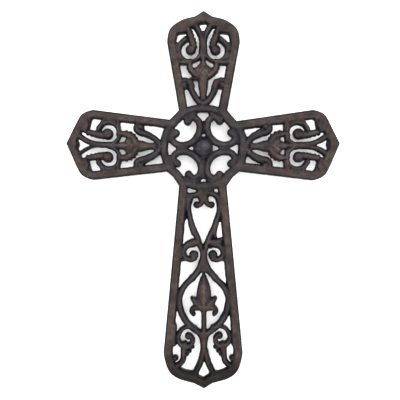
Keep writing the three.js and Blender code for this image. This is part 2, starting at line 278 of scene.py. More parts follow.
def half_outline(sign):
    """One half from the top tip down to the foot, with the drift of its arms and armpits."""
    top, side, foot = arm_end(TOP_END), arm_end(SIDE_END), arm_end(FOOT_END)
    axis = ARM_LIFT + ARM_RISE * side[:, 0]
    left = sign < 0
    upper, lower = np.array(UPPER_ARMPIT), np.array(LOWER_ARMPIT)
    upper[-1, 1] -= ARMPIT_SKEW * sign
    lower[-1, 0] += LOWER_SPREAD * left
    half = np.vstack([
        top[:, ::-1] + sign * TOP_LEAN * top[:, :1] * [1, 0],
        upper,
        np.stack([side[:, 0], axis + side[:, 1]], axis=1)[::-1],
        np.stack([side[:, 0], axis - (1.0 if left else RIGHT_EDGE_SPREAD) * side[:, 1]], axis=1)[1:],
        lower,
        (foot[:, ::-1] * [1, -1] + np.where(foot[:, 1:] > 0, LOWER_SPREAD, FOOT_TIP) * [1, 0])[::-1],
    ])
    return half * [sign, 1]


def cross_outline():
    """Right half from top to foot, then the left half back up."""
    return np.vstack([half_outline(1), half_outline(-1)[-2:0:-1]])


# Fretwork of the top and side arms as (along, across) from the boss, for one side of the stem. A scroll
# has a lead and a ring round its eye. Curls, bulbs and tips end with a radius, webs and shelves with a
# half-width. A hollow has a place and a cut, a vein its start and end along, its end across and a depth
TOP_FRET = {
    "lead": [(127, 9.6), (121, 7), (116, 4.2), (110, 2.1), (103, 1.6), (96, 1.9)],
    "lead_half": [3, 3, 2.8, 2.4, 2.2, 2.2],
    "eye": (97.2, 13.1),
    "radii": (11.5, 11.2),
    "ring_half": [2.2, 2, 1.9, 2.1, 2.6, 2.8],
    "leaf": [(121, 15.5), (114, 14), (107, 11.4), (101.5, 10), (98, 11)],
    "leaf_half": [2, 2.7, 3.4, 3.4, 3.4],
    "curl": (97.5, 12.4, 4.9),
    "petal": [(71, 6), (73.5, 9), (77.5, 12), (82, 13.4), (86, 12.6)],
    "petal_half": [2.5, 2.8, 3.2, 2.8, 2.4],
    "blade": [(113, 0.7), (106, 1.5), (97, 2.4), (90, 3.3), (85.5, 2.2), (83, 3.6), (80.5, 6.2),
              (78.5, 10), (74, 10), (70.5, 7.6), (68.3, 5), (60, 4.6), (53, 3.6), (46, 3)],
    "bracket": [(43.6, 0), (45, 3.4), (48, 6.3), (52, 8.7), (57.5, 11.6), (62.6, 14), (66, 17),
                (65, 21.5), (62, 25)],
    "bracket_half": [3, 3, 2.9, 2.9, 3, 3.2, 3.5, 3.6, 3.4],
    "bulb": (62.3, 18.2, 4),
    "webs": [((122.5, 11), (122.5, 18), 3), ((118, 19.5), (117, 26), 4), ((85, 14), (85, 28), 2.6),
             ((110, 17.5), (103.2, 24.6), 0.7), ((61, 11.5), (65.3, 13.5), 3),
             ((113, 27), (104.5, 29), 1.2), ((125, 4.5), (125, 5), 1.5), ((113.4, 0), (114.4, 0), 1.4)],
    "tip": (127.5, 0, 4.2),
    "shelves": [((103, 26), (97, 26.8), 1.5), ((92, 25.4), (88.5, 23.4), 2.2)],
    "hollow": (61, 15.8, 1.3, 1.8),
    "grooves": [],
    "tooth": 1.4,
    "nubs": [(72.6, 10.8), (75.9, 13.6), (79.6, 15.3)],
    "veins": [(80.3, 72, 5.2, -0.5), (77, 70.5, 4, 0.4), (83, 77, 7, 0.35)],
}
SIDE_FRET = {
    "lead": [(126, 10.5), (121.5, 7.6), (117, 4.7), (111.5, 2.5), (105, 1.7), (94, 1.4)],
    "lead_half": [2.8, 2.8, 2.8, 2.4, 2, 2],
    "eye": (94.6, 12.2),
    "radii": (11, 10.8),
    "ring_half": [2, 2, 1.9, 2, 2.3, 2.6],
    "leaf": [(121, 16), (114, 13), (107, 11.4), (101, 10.4), (97.5, 11)],
    "leaf_half": [2, 2.6, 3.4, 3.5, 3.4],
    "curl": (95.6, 11.6, 5.4),
    "petal": [(67.5, 4.5), (70.5, 8), (75.5, 11.2), (81, 12.1), (84.5, 11.4)],
    "petal_half": [2.4, 3.4, 3.5, 2.7, 2.4],
    "blade": [(113, 0.7), (105, 1.4), (96, 2), (90, 2.6), (84, 3), (80.4, 3.6), (78, 5), (76.4, 9),
              (72, 9.5), (69, 7.6), (66, 6), (60, 5.1), (54, 3.2), (50.5, 3.2), (46, 4.6)],
    "bracket": [(43, 0), (44.4, 3.6), (47.3, 6.7), (51.4, 9.5), (57.5, 12.4), (63, 14.2), (66, 17.2),
                (65, 21.5), (62, 25)],
    "bracket_half": [3.2, 3, 2.8, 2.9, 3.2, 3.5, 3.6, 3.6, 3.4],
    "bulb": (62.5, 18.5, 3.6),
    "webs": [((116.2, 20), (119, 25), 3.4), ((84.6, 15), (85.2, 27), 1.7),
             ((116.4, 16.8), (121, 18.5), 2.4), ((114.2, 27), (114.8, 23.5), 2.7),
             ((100.1, 24.6), (104.7, 15.4), 1.5)],
    "tip": (128, 0.6, 4.4),
    "shelves": [((99, 25.4), (95, 25.8), 1.7), ((95, 25.8), (88, 24.2), 1.9)],
    "hollow": (62, 16.6, 1, 1),
    "grooves": [[(114.6, 24.5), (113.8, 20), (114.8, 16.2), (116.4, 14)], [(125.7, 0.8), (125.7, 4.5)]],
    "tooth": 1.2,
    "nubs": [(66.8, 7.9), (69, 10.9), (72.4, 13.3), (76.6, 14.4)],
    "veins": [(70.6, 76.5, 4.6, -0.5), (73.6, 78.5, 4.2, 0.4), (67.5, 73.5, 6.5, 0.4)],
}
SCROLL_TURN = (-95, -335)
SLIGHT_PULL = 0.8
BRACKET_FILL = [(45, 7), (50, 11.4), (55.5, 14.6), (60, 17)]
BRACKET_FILL_END = 1.2
PETAL_TOOTH = 1.35
LEAF_TEETH = np.linspace(0.22, 0.80, 5)
TOOTH_SINK = 0.05

# Fine lines of an arm. A cut is a width and a depth, raised where it is less than nought. A spiral has
# the radius of its eye, its turn and its cut
MIDRIB = [(88, 0), (56, 0)]
MIDRIB_CUT = (0.8, -0.35)
VEIN_WIDTH = 0.8
GROOVE_CUT = (1.1, 1.4)
LEAF_CUT = (0.7, 0.4)
LEAF_VEIN_SHARE = 0.75
SPIRALS = {"curl": (0.8, (-150, 330), (0.75, 0.85)), "bulb": (0.6, (100, -230), (0.8, 0.7))}


class TopArm:
    """Along the top arm is up, across it is to the right."""

    def __call__(self, points):
        return np.array(points, float)[:, ::-1] + [0, TOP_LIFT]

    def back(self, x, z):
        return z - TOP_LIFT, x


class SideArm:
    """Along a side arm is outwards, across it is up from its slightly rising axis."""

    def __init__(self, sign):
        self.sign = sign

    def __call__(self, points):
        p = np.array(points, float)
        return np.stack([self.sign * p[:, 0], FRET_LIFT + FRET_RISE * p[:, 0] + p[:, 1]], axis=1)

    def back(self, x, z):
        return self.sign * x, z - FRET_LIFT - FRET_RISE * self.sign * x


class LowerArm:
    """Along the lower arm is down, across it is to the right of an axis that shifts a little."""

    def __call__(self, points):
        p = np.array(points, float)
        return np.stack([p[:, 1] + lower_shift(-p[:, 0]), -p[:, 0] - LOWER_DROP], axis=1)

    def back(self, x, z):
        return -z - LOWER_DROP, x - lower_shift(z)


def lower_shift(z):
    """How far the lower arm's ornament lies to the right, growing from the volutes down."""
    return LOWER_SHIFT * fade(-z, LOWER_SHIFT_START, LOWER_SHIFT_SPAN)


# The short arms: their fretwork and place, how much fuller the brackets came out on the two sides, and
# how much thinner and nearer the axis the scrolls start there
ARMS = [
    (TOP_FRET, TopArm(), (0, 0), (0, 0)),
    (SIDE_FRET, SideArm(1), (1.9, 1.8), (0, 0)),
    (SIDE_FRET, SideArm(-1), (0, 1.2), (0, 1.1)),
]


def serrate(casting, path, half, side, radius):
    """Small bumps along one edge of a leaf, evenly spaced on its path."""
    step = np.gradient(path, axis=0)
    normal = np.stack([-step[:, 1], step[:, 0]], axis=1) / np.hypot(step[:, 0], step[:, 1])[:, None]
    for share in LEAF_TEETH:
        i = int(share * (len(path) - 1))
        casting.knob(path[i] + side * normal[i] * (half - TOOTH_SINK * radius), radius, TOOTH)


def fretwork(casting, fret, place, stout, slight):
    """On both sides of the stem a C-scroll, a serrated leaf with its curled end, a tulip petal, a
    bracket with its bulb, and the webs and shelves where the iron ran together."""
    casting.blade(place, fret["blade"], TULIP)
    casting.knob(place([fret["tip"][:2]])[0], fret["tip"][2], WEB)
    turn = np.linalg.det(np.diff(place([(0, 0), (1, 0), (1, 1)]), axis=0))
    for side, extra, less in zip((1, -1), stout, slight):
        def put(points):
            return place(np.array(points, float) * [1, side])

        def spot(knob):
            return put([knob[:2]])[0]

        leaf = put(curve(fret["leaf"]))
        lead = put(curve(fret["lead"]) - [0, SLIGHT_PULL * less])
        casting.bar(lead, np.array(fret["lead_half"]) - less, SCROLL)
        casting.bar(put(scroll(fret["eye"], fret["radii"], SCROLL_TURN)), fret["ring_half"], SCROLL)
        casting.bar(leaf, fret["leaf_half"], LEAF)
        serrate(casting, leaf, fret["leaf_half"][1], side * np.sign(turn), fret["tooth"])
        casting.knob(spot(fret["curl"]), fret["curl"][2])
        casting.bar(put(curve(fret["petal"])), fret["petal_half"], LEAF)
        casting.bar(put(curve(fret["bracket"])), fret["bracket_half"])
        if extra:
            casting.bar(put(BRACKET_FILL), [extra, extra, extra, BRACKET_FILL_END])
        for nub in fret["nubs"]:
            casting.knob(spot(nub), PETAL_TOOTH, TOOTH)
        casting.knob(spot(fret["bulb"]), fret["bulb"][2])
        for kind, form in (("webs", WEB), ("shelves", SHELF)):
            for start, end, half in fret[kind]:
                casting.bar(put([start, end]), [half], form)


def fret_lines(casting, fret, place):
    """Fine relief of an arm: the tulip's raised midrib, chevrons and veins, grooves by the band, leaf
    veins, spirals on the curls and bulbs, and a hollow by each bulb."""
    casting.score(place(MIDRIB), MIDRIB_CUT)
    for side in (1, -1):
        for start, end, across, drop in fret["veins"]:
            casting.score(place([(start, 0), (end, side * across)]), (VEIN_WIDTH, drop))
        for groove in fret["grooves"]:
            casting.score(place(curve(groove) * [1, side]), GROOVE_CUT)
        leaf = place(curve(fret["leaf"]) * [1, side])
        casting.score(leaf[:int(len(leaf) * LEAF_VEIN_SHARE)], LEAF_CUT)
        for knob, (eye, turn, cut) in SPIRALS.items():
            along, across, radius = fret[knob]
            casting.score(place(scroll((along, across), (radius, eye), turn, steps=24) * [1, side]), cut)
        along, across, width, drop = fret["hollow"]
        casting.score(place([(along, side * across)] * 2), (width, drop))


# Centre: the ring with its fuller right side, the quatrefoil of four C-scrolls and the boss
RING_RADIUS = 39.2
RING_HALF = [3.9]
RING_BULGE = (1.6, 0)
RING_BULGE_ARC = (-30, 30)
RING_GROOVE_RADIUS = 36.4
RING_GROOVE_CUT = (0.8, 0.4)
BOSS_DROP = -0.8
BOSS_RADIUS = 8.0
COLLAR_RADIUS = 9.8
BOSS_GROOVE_RADIUS = 8.6
BOSS_GROOVE_CUT = (0.7, 0.5)
LOBE = [(27, 15.5), (31, 10.2), (27.4, 4.6), (20.5, 2.9), (13.7, 4.5), (8.3, 8.3)]
LOBE_HALF = [3.3]
LOBE_END_RADIUS = 3.8
LOBE_RIB_INSET = 6
LOBE_RIB_CUT = (0.8, -0.3)
LOBE_DIMPLE_CUT = (1.1, 0.6)

# How each C-scroll is turned and squashed, and how far it drifted
LOBE_PLACES = [((1, 1), (1.1, -0.4)), ((-1, 1), (-0.2, -0.8)),
               ((-1, -0.95), (1, -1.2)), ((1, -0.95), (0.9, -1.4))]

# Iron that ran together round the quatrefoil: pockets by the nubs, then fills on both sides and single
# ones as path, half-widths and form
POCKET_RADIUS = 35.2
POCKET_HALF = [1.9]
POCKET_ARCS = ((14, 31), (59, 76))
PAIRED_FILLS = [
    ([(7.4, 33.8), (11, 33.2)], [1.7, 2], NUB),
    ([(16.5, BOSS_DROP), (25.5, BOSS_DROP)], [1.2], SEAM),
    ([(5.6, -33.2), (10, -33.6)], [1.9, 2.4], NUB),
]
SINGLE_FILLS = [
    ([(-6, -36), (6, -36)], [1.7], NUB),
    ([(-3.8, -33.1), (-0.9, -29.5)], [1.1], NUB),
    ([(5, -33), (1.6, -29.5)], [1.1], NUB),
    ([(0, -10.8), (0, -20), (0, -29.4)], [2, 1, 1.4], SEAM),
    ([(0.4, 14.4), (0.4, 26)], [0.5, 0.4], SEAM),
    ([(-1.9, 9.9), (2.5, 9.9)], [0.9], COLLAR),
]


def lobes():
    """Paths of the four C-scrolls, each drifted a little and the lower two shorter."""
    lobe = curve(LOBE + [(z, x) for x, z in LOBE[-2::-1]])
    return [lobe * turn + drift for turn, drift in LOBE_PLACES]


def centre(casting):
    """Ring, quatrefoil of four C-scrolls with nubbed ends, the fills between them, and the boss."""
    casting.bar(circle((0, 0), RING_RADIUS), RING_HALF, RING)
    bulge = scroll(RING_BULGE, (RING_RADIUS, RING_RADIUS), RING_BULGE_ARC, steps=20)
    casting.bar(bulge, RING_HALF, RING)
    for path in lobes():
        casting.bar(path, LOBE_HALF, LOBE_BAR)
        for end in (path[0], path[-1]):
            casting.knob(end, LOBE_END_RADIUS, LOBE_BAR)
    for quarter in (0, 90, 180, 270):
        for start, end in POCKET_ARCS:
            arc = (quarter + start, quarter + end)
            pocket = scroll((0, BOSS_DROP), (POCKET_RADIUS, POCKET_RADIUS), arc, steps=8)
            casting.bar(pocket, POCKET_HALF, SHELF)
    for sign in (1, -1):
        for path, half, form in PAIRED_FILLS:
            casting.bar(np.array(path) * [sign, 1], half, form)
    for path, half, form in SINGLE_FILLS:
        casting.bar(path, half, form)
    casting.knob((0, BOSS_DROP), COLLAR_RADIUS, COLLAR)
    casting.knob((0, BOSS_DROP), BOSS_RADIUS, BOSS)


def centre_lines(casting):
    """Fine relief of the centre: a raised line on each C-scroll, dimpled nubs, and a groove inside the
    ring and one round the boss."""
    for path in lobes():
        casting.score(path[LOBE_RIB_INSET:-LOBE_RIB_INSET], LOBE_RIB_CUT)
        for end in (path[0], path[-1]):
            casting.score([end, end], LOBE_DIMPLE_CUT)
    casting.score(circle((0, 0), RING_GROOVE_RADIUS), RING_GROOVE_CUT)
    casting.score(circle((0, BOSS_DROP), BOSS_GROOVE_RADIUS, steps=40), BOSS_GROOVE_CUT)


# Bars of the lower arm's right half as (x, z), with their half-widths and forms, from the ring down
HEART = ([(1.5, -45), (8, -45.8), (13.2, -49.2), (15.4, -57), (15.1, -64), (13, -72.5), (10.2, -80.5),
          (6.8, -88), (2.9, -98)], [3, 2.9, 2.9, 2.7, 2.7, 2.8, 2.9, 2.9, 2.6], BAR)
LEFT_HEART = (HEART[0][:1] + [(8.2, -46.8)] + HEART[0][2:], HEART[1], BAR)
HOOK = ([(0.5, -50), (2, -54), (4.2, -56.8), (7.2, -56.8)], [3.3, 2.8, 2.4, 2.2], CURL)
VOLUTE = ([(5.5, -94.2), (10.5, -95.3), (16, -97.5), (19.5, -103), (18.5, -109), (13.5, -111.6),
           (9.5, -110.5)], [3, 4.4, 3.4, 2.5, 2.6, 2.7, 3], STEM)
NECK = ([(2.4, -99), (1.3, -106), (1.9, -112), (5, -122), (11.2, -130)], [2.4, 1.7, 2.1, 3, 3.2], BAR)
ALMOND = ([(11.2, -130), (19.5, -138.5), (24, -147.5), (24.5, -155), (22.3, -165), (17.3, -174),
           (10.5, -180.6), (2.5, -186.5)], [3, 3, 3.2, 3], BAR)
WING = ([(2, -160), (6, -157), (9.3, -152.5), (11.8, -150)], [3.5, 3.6, 2.8, 1.5], LEAF)
TAIL = ([(1, -159.4), (6, -159.7), (10.4, -160.5), (12.1, -163.4), (10.3, -166.4)],
        [3.7, 3.1, 2.6, 2.3, 2], BAR)
FOOT_TURN = ([(8.5, -180.3), (15, -178.9), (21.9, -181.6), (25.7, -189.5), (23.3, -196.2),
              (17.3, -198.8), (12.6, -196.2), (11.2, -191.6), (12.8, -188.6)],
             [2.4, 2.1, 2.1, 2.2, 2.5, 2.7, 2.4, 2.3, 2.3], CURL)
FOOT_LEAF = ([(18.8, -197), (20.4, -205.5), (20.5, -211.2), (23.5, -215.8), (30, -220)],
             [3.7, 2.6, 2.8, 2.6, 2.5], LEAF)
LEG = ([(1, -203), (3.3, -213), (6, -219.5), (11, -229)], [2.9], BAR)
LOWER_FILLS = [
    ([(17.5, -111.4), (22, -112.2)], [1.5], BAR),
    ([(16.6, -48.5), (16.9, -56), (17, -62)], [1.6, 1.6, 1.2], SHELF),
    ([(21.6, -99.5), (22.2, -109)], [1.6], SHELF),
    ([(29.4, -178), (30.4, -196)], [2.4], WEB),
    ([(8, -226), (16, -225.6), (25, -222.2)], [2.6], WEB),
]

# The heart leans to the right, and the right foot scroll and both legs lie a little off
HEART_LEAN = 0.025
HEART_POINT = -98
RIGHT_FOOT_SHIFT = (0.3, 0.7)
LEG_SHIFT = (0.45, 0)

# Blades on the lower arm's axis as (along, half-width), and its knobs as place and radius
LOWER_BLADES = [
    ([(40, 6), (44.5, 6.6), (48, 5.8), (52, 4.4), (56, 3.6)], TULIP),
    ([(112, 2), (119, 3.6), (124.5, 3.8)], WEB),
    ([(121, 1), (126, 1.1), (130, 3), (136, 5.4), (142, 6.7), (148, 7.1), (154, 6.6), (161, 5)], LEAF),
    ([(159, 2.4), (186, 2.4)], STEM),
    ([(183, 3), (186.5, 6), (190.5, 4.6), (196, 3.4), (201, 3), (208, 3.2)], STEM),
]
LOWER_CURLS = [(7.3, -57, 3.3), (9.5, -107.2, 4.6), (28.3, -210.2, 2.9)]
FOOT_CURL = (15.2, -188.3, 3.5)
TAIL_CURL = (10.6, -165, 2)

# Spikes of the foot leaves by their points, each growing from a root beside it
FOOT_SPIKES = [(10.5, -199.4), (13.2, -203.3), (16, -206.7)]
SPIKE_ROOT = (3, -0.6)
SPIKE_HALF = [2, 1.1]

# Fine lines of the lower arm
FLEUR_RIB = [(LOWER_SHIFT, -128), (LOWER_SHIFT, -176)]
FLEUR_RIB_CUT = (0.9, -0.6)
FLEUR_VEIN = [(1.6, -131), (4, -140), (4.6, -150), (2.2, -157)]
FLEUR_VEIN_CUT = (0.9, 0.5)
FOOT_HOLLOWS = [[(10.5, -226.5), (17, -225.5), (23.5, -222.5)], [(0.4, -230.3), (6, -225.8)]]
FOOT_HOLLOW_CUT = (1.4, 1.3)
DIMPLE_SHARE = 0.35
DIMPLE_DEPTH = 1.1


def lower_arm(casting):
    """From the ring down: hooked heart, volutes, almond with a fleur-de-lis, foot scrolls and legs."""
    for stations, form in LOWER_BLADES:
        casting.blade(LowerArm(), stations, form)
    for sign in (1, -1):
        def put(points):
            path = curve(points) * [sign, 1]
            lean = HEART_LEAN * np.maximum(path[:, 1] - HEART_POINT, 0.0)
            return path + (lean + lower_shift(path[:, 1]))[:, None] * [1, 0] - [0, LOWER_DROP]

        def lay(piece, shift=(0, 0)):
            points, half, form = piece
            casting.bar(put(points) + shift, half, form)

        def curl(x, z, radius, shift=(0, 0)):
            casting.knob(put([(x, z), (x, z)])[0] + shift, radius, CURL)

        foot_shift = np.array(RIGHT_FOOT_SHIFT) * (sign > 0)
        for piece in (HEART if sign > 0 else LEFT_HEART, HOOK, VOLUTE, NECK, ALMOND, WING, TAIL):
            lay(piece)
        lay(FOOT_TURN, foot_shift)
        curl(*FOOT_CURL, foot_shift)
        lay(FOOT_LEAF)
        lay(LEG, LEG_SHIFT)
        for piece in LOWER_FILLS:
            lay(piece)
        for spike in FOOT_SPIKES:
            lay(([np.add(spike, SPIKE_ROOT), spike], SPIKE_HALF, NUB))
        for place in LOWER_CURLS:
            curl(*place)


def lower_lines(casting):
    """Fine relief of the lower arm: the fleur's raised rib and its veins, leaf veins, hollows at the
    foot and dimpled curls."""
    casting.score(FLEUR_RIB, FLEUR_RIB_CUT)
    for sign in (1, -1):
        def put(points):
            return np.array(points, float) * [sign, 1] + [LOWER_SHIFT, -LOWER_DROP]

        casting.score(put(FLEUR_VEIN), FLEUR_VEIN_CUT)
        casting.score(put(curve(FOOT_LEAF[0])), LEAF_CUT)
        for hollow in FOOT_HOLLOWS:
            casting.score(put(hollow), FOOT_HOLLOW_CUT)
        for x, z, radius in LOWER_CURLS + [FOOT_CURL, TAIL_CURL]:
            casting.score(put([(x, z), (x, z)]), (DIMPLE_SHARE * radius, DIMPLE_DEPTH))


# Fuller metal that the pour left on one side or the other, as path, half-widths and form
FAULTS = [
    ([(13.4, -76), (11.4, -86), (12.2, -89.6)], [1.5, 2, 1.6], BAR),
    ([(16.9, -68), (17.1, -73.5)], [1, 0.5], BAR),
    ([(-17.6, -68), (-17.7, -72)], [1, 0.5], BAR),
    ([(4, -99.5), (3.2, -108)], [1, 0.5], BAR),
    ([(4.5, -99.8), (8, -100.2)], [1.3, 0.8], BAR),
    ([(8, -93.6), (17.5, -94.4)], [1.6], SHELF),
    ([(0.2, -103), (0.6, -118)], [1.3, 2], BAR),
    ([(29.5, 3.4), (35, 4.8)], [1.4], NUB),
    ([(22.8, -112), (24.7, -135)], [1.8, 1.3], WEB),
    ([(9.4, 58), (12.6, 65.8), (18, 69)], [1.3], BAR),
    ([(-13.2, -76), (-9.6, -86)], [1.6, 2.4], BAR),
    ([(14.5, -92.6), (19, -91.6)], [1.6], BAR),
    ([(-16.4, -47.2), (-11.4, -47)], [1.7], NUB),
    ([(6, -42.2), (9.6, -42.6)], [1.8, 1.3], NUB),
    ([(-12, 69), (-6, 68.6)], [1.2], BAR),
]

# Fuller webs behind the right arm's tulip, above and below its axis: two points, the axis's height
# there, the half-width and the form
RIGHT_ARM_WEBS = [
    ((82.4, 15.8), (83, 27), 1.6, 1.9, WEB),
    ((83.3, 4.6), (82.9, 9), 1.7, 1.3, WEB),
    ((84.6, 16), (85, 25), 1.6, 1.3, SHELF),
    ((85.4, 4), (85, 8.5), 1.7, 1.2, SHELF),
]
PIT = (0, -11.6)
PIT_CUT = (1.0, 1.6)


def small_faults(casting):
    """What the pour left uneven: fuller metal beside the heart, the volutes and some brackets, fuller
    webs on the right arm, and a pit under the boss."""
    for path, half, form in FAULTS:
        casting.bar(path, half, form)
    for sign in (1, -1):
        for start, end, lift, half, form in RIGHT_ARM_WEBS:
            casting.bar(np.array([start, end]) * [1, sign] + [0, lift], [half], form)
    casting.score([PIT, PIT], PIT_CUT)


def cast_cross():
    """The whole casting: the arms, the centre, the lower arm and the faults, then the fine lines."""
    casting = Casting(cross_outline())
    for fret, place, stout, slight in ARMS:
        fretwork(casting, fret, place, stout, slight)
    centre(casting)
    lower_arm(casting)
    small_faults(casting)
    for fret, place, *_ in ARMS:
        fret_lines(casting, fret, place)
    centre_lines(casting)
    lower_lines(casting)
    return casting


# Polygons of a grid cell by which corners are inside: corners 0 to 3 go round from the lower left,
# and 4 to 7 are the crossings on the bottom, right, top and left edges
CELL_CASES = {
    1: [(0, 4, 7)], 2: [(1, 5, 4)], 3: [(0, 1, 5, 7)], 4: [(2, 6, 5)], 5: [(0, 4, 7), (2, 6, 5)],
    6: [(1, 2, 6, 4)], 7: [(0, 1, 2, 6, 7)], 8: [(3, 7, 6)], 9: [(0, 4, 6, 3)],
    10: [(1, 5, 4), (3, 7, 6)], 11: [(0, 1, 5, 6, 3)], 12: [(2, 3, 7, 5)], 13: [(0, 4, 5, 2, 3)],
    14: [(1, 2, 3, 7, 4)], 15: [(0, 1, 2, 3)],
}
LAST_CORNER = 3


def front_mesh(depth, layers):
    """Triangles of the region where depth is positive. Its vertices are the grid points inside and
    the places where depth crosses nought on the grid's edges. Every layer is carried to them.
    Returns the layers at the vertices, the triangles and the rim's directed edges."""
    inside = depth > 0.0
    count = int(inside.sum())
    ids = np.zeros((8, depth.shape[0] - 1, depth.shape[1] - 1), int)
    corner = np.where(inside, np.cumsum(inside).reshape(inside.shape) - 1, -1)
    ids[0], ids[1], ids[2], ids[3] = corner[:-1, :-1], corner[:-1, 1:], corner[1:, 1:], corner[1:, :-1]
    values = [[layer[inside]] for layer in layers]
    for axis in (1, 0):
        near = np.s_[:, :-1] if axis else np.s_[:-1, :]
        far = np.s_[:, 1:] if axis else np.s_[1:, :]
        crossing = inside[near] != inside[far]
        share = depth[near][crossing] / (depth[near][crossing] - depth[far][crossing])
        numbers = np.full(crossing.shape, -1)
        numbers[crossing] = count + np.arange(crossing.sum())
        count += int(crossing.sum())
        for value, layer in zip(values, layers):
            value.append(layer[near][crossing] * (1 - share) + layer[far][crossing] * share)
        if axis:
            ids[4], ids[6] = numbers[:-1], numbers[1:]
        else:
            ids[7], ids[5] = numbers[:, :-1], numbers[:, 1:]
    code = inside[:-1, :-1] + 2 * inside[:-1, 1:] + 4 * inside[1:, 1:] + 8 * inside[1:, :-1]
    triangles, rim = [], []
    for case, polygons in CELL_CASES.items():
        cells = ids[:, code == case]
        for polygon in polygons:
            triangles += [cells[[polygon[0], b, c]].T for b, c in zip(polygon[1:], polygon[2:])]
            sides = zip(polygon, polygon[1:] + polygon[:1])
            rim += [cells[[a, b]].T for a, b in sides if min(a, b) > LAST_CORNER]
    return [np.concatenate(value) for value in values], np.vstack(triangles), np.vstack(rim)


def wall_faces(rows, rim):
    """Two triangles between each row of the rim's points and the next for every edge of the rim."""
    walls = []
    for upper, lower in zip(rows, rows[1:]):
        a, b = upper[rim[:, 0]], upper[rim[:, 1]]
        c, d = lower[rim[:, 1]], lower[rim[:, 0]]
        walls += [np.stack([a, d, c], axis=1), np.stack([a, c, b], axis=1)]
    return np.vstack(walls)


def flat_faces(points, rim):
    """Triangles between the rim's loops. One that has a rim edge is iron when it runs the rim's way
    round and air when it runs against it, and the others take after the neighbours they touch."""
    found = np.array(delaunay_2d_cdt(points.tolist(), rim.tolist(), [], 0, JOIN_REACH)[2])
    count = len(points)
    runs = found * count + np.roll(found, -1, axis=1)
    forward = np.isin(runs, rim[:, 0] * count + rim[:, 1])
    against = np.isin(runs, rim[:, 1] * count + rim[:, 0])
    state = forward.any(axis=1).astype(int) - against.any(axis=1)
    order = np.argsort(runs.ravel())
    back = np.roll(found, -1, axis=1) * count + found
    at = order[np.minimum(np.searchsorted(runs.ravel(), back, sorter=order), runs.size - 1)]
    shared = (runs.ravel()[at] == back) & ~forward & ~against
    while (state == 0).any():
        state = np.where(state == 0, np.sign((state[at // 3] * shared).sum(axis=1)), state)
    return found[state > 0]


def blurred(field, times):
    """Field after repeated averaging of each cell with its four neighbours."""
    for _ in range(times):
        field = (2 * field + np.roll(field, 1, 0) + np.roll(field, -1, 0)
                 + np.roll(field, 1, 1) + np.roll(field, -1, 1)) / 6.0
    return field


def unevenness(size, seed):
    """Gentle seeded waves over the grid, about one in height either way: coarse random values
    joined by smooth steps."""
    across = (GRID_X - COLUMNS[0]) / size
    along = (GRID_Z - ROWS[0]) / size
    values = np.random.default_rng(seed).uniform(-1, 1, (int(along.max()) + 2, int(across.max()) + 2))
    i, j = along.astype(int), across.astype(int)
    u, v = along - i, across - j
    u, v = u * u * (3 - 2 * u), v * v * (3 - 2 * v)
    low = values[i, j] * (1 - v) + values[i, j + 1] * v
    high = values[i + 1, j] * (1 - v) + values[i + 1, j + 1] * v
    return low * (1 - u) + high * u


def waves(kinds):
    """Sum of uneven waves, each given by its amount, size and seed."""
    return sum(amount * unevenness(size, seed) for amount, size, seed in kinds)


# Lighter or darker spots as (x, z, width, height, amount): the lighter tulips, then a painted highlight on
# the fleur and on the boss, then the darker hooks, volutes, fleur tails, wing tips and foot scrolls
WEAR_AND_HIGHLIGHT_SPOTS = [
    (0, 74, 8, 9, 0.9), (75, 1.6, 9, 8, 0.9), (-75, 1.6, 9, 8, 0.9), (0.7, -147, 7, 15, 1.2),
    (0, -0.8, 8, 8, 0.35), (0.8, 0.4, 4.2, 4.2, 0.7),
    (8.5, -56.5, 5, 4, -0.7), (-6, -56.5, 5, 4, -0.7), (10.3, -106, 6, 6, -0.4), (-9, -106, 6, 6, -0.35),
    (12, -163, 4, 4, -0.6), (-10, -163, 4, 4, -0.6), (12.5, -150.5, 3, 3, -0.5), (-11, -150.5, 3, 3, -0.5),
    (16, -189, 7, 8, -0.42), (-14.5, -189, 7, 8, -0.42),
]
WEAR_AND_PAINTED_LIGHT_LIMITS = (-1.0, 1.2)

# Lighter band, and the foot darkened as painted shade, by start, span and amount, measured from the boss,
# and darker brackets within their reach of it
LIGHT_BAND = (40, 12, 0.14)
DARK_FOOT = (204, 20, 0.95)
DARK_BRACKETS = 0.2
BRACKET_REACH = 68.0
BRACKET_FADE = 6.0
FRET_FADE = 3.0
STEM_HALF = 4.0

# The middle is bluish within this distance of the boss, and less so over the next span
MIDDLE_COOL = 0.85
MIDDLE_REACH = 34.0
MIDDLE_FADE = 28.0
COOL_BLUR = 3


def bracket_share(inside):
    """How much a place belongs to the brackets round the ring: inside the band, off the arms' stems
    and not far from the middle."""
    fret = fade(inside, BAND_WIDTH, FRET_FADE)
    off_stem = fade(np.minimum(np.abs(GRID_X), np.abs(GRID_Z)), STEM_HALF, STEM_HALF)
    return fret * off_stem * (1.0 - fade(np.hypot(GRID_X, GRID_Z), BRACKET_REACH, BRACKET_FADE))


def coolness(casting):
    """Where the iron is bluish rather than brown: as each form says, softened, and in the middle."""
    middle = 1.0 - fade(np.hypot(GRID_X, GRID_Z), MIDDLE_REACH, MIDDLE_FADE)
    return np.maximum(MIDDLE_COOL * middle, blurred(casting.cool, COOL_BLUR))


def wear_and_painted_light(inside):
    """How much lighter or darker the face is: bell-shaped spots, lighter on the tulips, a painted highlight
    on the fleur and the boss, darker on the curls; a lighter band away from the boss, darker brackets, and
    painted shade on the foot."""
    spots = sum(amount * np.exp(-((GRID_X - x) / wide) ** 2 - ((GRID_Z - z) / tall) ** 2)
                for x, z, wide, tall, amount in WEAR_AND_HIGHLIGHT_SPOTS)
    start, span, amount = LIGHT_BAND
    band = amount * fade(np.abs(GRID_Z), start, span) * (inside < BAND_WIDTH)
    # Painted shade: the foot is darker towards the bottom
    start, span, amount = DARK_FOOT
    foot = amount * fade(-GRID_Z, start, span)
    return np.clip(spots + band - DARK_BRACKETS * bracket_share(inside) - foot, *WEAR_AND_PAINTED_LIGHT_LIMITS)


